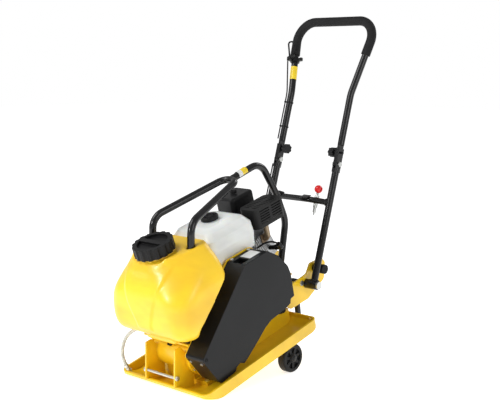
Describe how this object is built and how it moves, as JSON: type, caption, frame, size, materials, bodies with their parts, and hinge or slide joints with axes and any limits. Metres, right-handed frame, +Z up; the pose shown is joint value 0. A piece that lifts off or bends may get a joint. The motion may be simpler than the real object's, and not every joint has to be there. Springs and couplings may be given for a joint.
{
  "type": "plate compactor",
  "caption": "Walk-behind plate compactor: pan-shaped sole plate, engine, exciter, belt guard, water tank with hose, protective cage, folding handle and swing-down wheels.",
  "frame": {"origin": "centre of the bounding box in X and Y, on the ground under the plate's front bend and the transport wheels", "axes": "+Z up, +Y towards the operator's handle (rear), +X to the belt-guard side; the machine stands nose-down on its transport wheels"},
  "size_m": [0.42, 1.0061, 1.2336],
  "materials": {
    "yellow_paint": "satin",
    "black_paint": "satin",
    "charcoal_paint": "satin",
    "yellow_plastic": "glossy",
    "black_plastic": "satin",
    "tank_white": "translucent white",
    "black_rubber": "matte",
    "wheel_tyre": "matte",
    "steel": "brushed",
    "zinc": "plated",
    "aluminium": "cast",
    "cast_iron": "machined",
    "exhaust_steel": "heat-stained",
    "red_plastic": "glossy",
    "hose_clear": "milky clear",
    "foam": "soft foam"
  },
  "bodies": {
    "machine": {"base_plate": "yellow_paint", "shock_pedestal": "yellow_paint", "shock_mounts": "black_rubber", "front_ribs": "yellow_paint", "front_tie_rod": "zinc", "exciter_housing": "yellow_paint", "exciter_covers": "yellow_paint", "exciter_bearings": "steel", "oil_plug": "black_plastic", "hex_fasteners": "zinc", "engine_deck": "yellow_paint", "handle_stops": "black_rubber", "crankcase": "aluminium", "cylinder_block": "aluminium", "cylinder_head": "aluminium", "rocker_cover": "aluminium", "spark_plug": "black_plastic", "drive_belt": "black_rubber", "belt_guard": "charcoal_paint", "guard_back_plate": "yellow_paint", "guard_screws": "zinc", "fuel_tank": "tank_white", "air_cleaner": "black_plastic", "carburettor": "black_plastic", "muffler": "black_paint", "muffler_guard": "black_paint", "exhaust_pipe": "exhaust_steel", "recoil_housing": "black_paint", "recoil_rope": "foam", "switch_body": "black_plastic", "cage_hoop": "black_paint", "cage_spine": "black_paint", "water_tank": "yellow_plastic", "water_hose": "hose_clear", "hose_fittings": "zinc", "pivot_pins": "zinc"},
    "exciter_rotor": {"exciter_shaft": "steel", "exciter_pulley": "cast_iron"},
    "crank_rotor": {"crankshaft": "steel", "clutch_drum": "cast_iron"},
    "fuel_cap_body": {"fuel_cap": "black_plastic"},
    "tank_cap_body": {"water_tank_cap": "black_plastic"},
    "recoil_handle": {"recoil_grip": "black_plastic"},
    "engine_switch": {"switch_knob": "black_plastic"},
    "handle_lower": {"lower_handle": "black_paint", "fold_bolts": "zinc", "plunger_sleeve": "zinc", "throttle_cable_lower": "black_plastic"},
    "handle_upper": {"upper_handle": "black_paint", "foam_grip": "foam", "throttle_clamp": "black_plastic", "throttle_cable_upper": "black_plastic"},
    "clamp_knob_right": {"knob_right": "black_plastic"},
    "clamp_knob_left": {"knob_left": "black_plastic"},
    "plunger": {"plunger_knob": "red_plastic"},
    "throttle": {"throttle_lever": "black_plastic"},
    "wheel_frame": {"wheel_bracket": "black_paint", "wheel_axle": "black_paint"},
    "wheel_r": {"wheel_right": "wheel_tyre"},
    "wheel_l": {"wheel_left": "wheel_tyre"}
  },
  "joints": [
    {"name": "exciter_spin", "type": "hinge", "parent": "machine", "child": "exciter_rotor", "pos_m": [0, -0.30788, 0.11058], "axis": [1, 0, 0], "continuous": true},
    {"name": "crank_spin", "type": "hinge", "parent": "machine", "child": "crank_rotor", "pos_m": [0, -0.0873, 0.33572], "axis": [1, 0, 0], "continuous": true},
    {"name": "fuel_cap_turn", "type": "hinge", "parent": "machine", "child": "fuel_cap_body", "pos_m": [0, -0.18165, 0.53315], "axis": [0, -0.2813, 0.9596], "range_deg": [0, 90]},
    {"name": "tank_cap_turn", "type": "hinge", "parent": "machine", "child": "tank_cap_body", "pos_m": [0, -0.4227, 0.44894], "axis": [0, -0.3639, 0.9314], "range_deg": [0, 540]},
    {"name": "recoil_pull", "type": "slide", "parent": "machine", "child": "recoil_handle", "axis": [0, -0.0876, 0.9962], "range_m": [0, 0.5], "stiffness_N_per_m": 10, "springref_m": -0.8},
    {"name": "switch_turn", "type": "hinge", "parent": "machine", "child": "engine_switch", "pos_m": [-0.049, -0.18951, 0.33598], "axis": [0, -0.9596, -0.2813], "range_deg": [0, 60]},
    {"name": "handle_swing", "type": "hinge", "parent": "machine", "child": "handle_lower", "pos_m": [0, 0.1969, 0.27626], "axis": [1, 0, 0], "range_deg": [0, 10]},
    {"name": "handle_fold", "type": "hinge", "parent": "handle_lower", "child": "handle_upper", "pos_m": [0, 0.31965, 0.69983], "axis": [1, 0, 0], "range_deg": [0, 100]},
    {"name": "knob_right_turn", "type": "hinge", "parent": "handle_lower", "child": "clamp_knob_right", "pos_m": [0.142, 0.33162, 0.74113], "axis": [1, 0, 0], "range_deg": [0, 720]},
    {"name": "knob_left_turn", "type": "hinge", "parent": "handle_lower", "child": "clamp_knob_left", "pos_m": [-0.142, 0.33162, 0.74113], "axis": [-1, 0, 0], "range_deg": [0, 720]},
    {"name": "plunger_lift", "type": "slide", "parent": "handle_lower", "child": "plunger", "axis": [0, 0.2784, 0.9605], "range_m": [0, 0.01], "stiffness_N_per_m": 600, "springref_m": -0.01},
    {"name": "throttle_turn", "type": "hinge", "parent": "handle_upper", "child": "throttle", "pos_m": [-0.16384, 0.40761, 1.08121], "axis": [0.9858, 0.0558, 0.1582], "range_deg": [0, 50]},
    {"name": "wheels_swing", "type": "hinge", "parent": "machine", "child": "wheel_frame", "pos_m": [0, 0.16953, 0.28075], "axis": [1, 0, 0], "range_deg": [0, 140]},
    {"name": "wheel_right_roll", "type": "hinge", "parent": "wheel_frame", "child": "wheel_r", "pos_m": [0.177, 0.03292, 0.05], "axis": [1, 0, 0], "continuous": true},
    {"name": "wheel_left_roll", "type": "hinge", "parent": "wheel_frame", "child": "wheel_l", "pos_m": [-0.177, 0.03292, 0.05], "axis": [1, 0, 0], "continuous": true}
  ],
  "couplings": [
    {"joint": "crank_spin", "follows": "exciter_spin", "ratio": 1.1053}
  ]
}
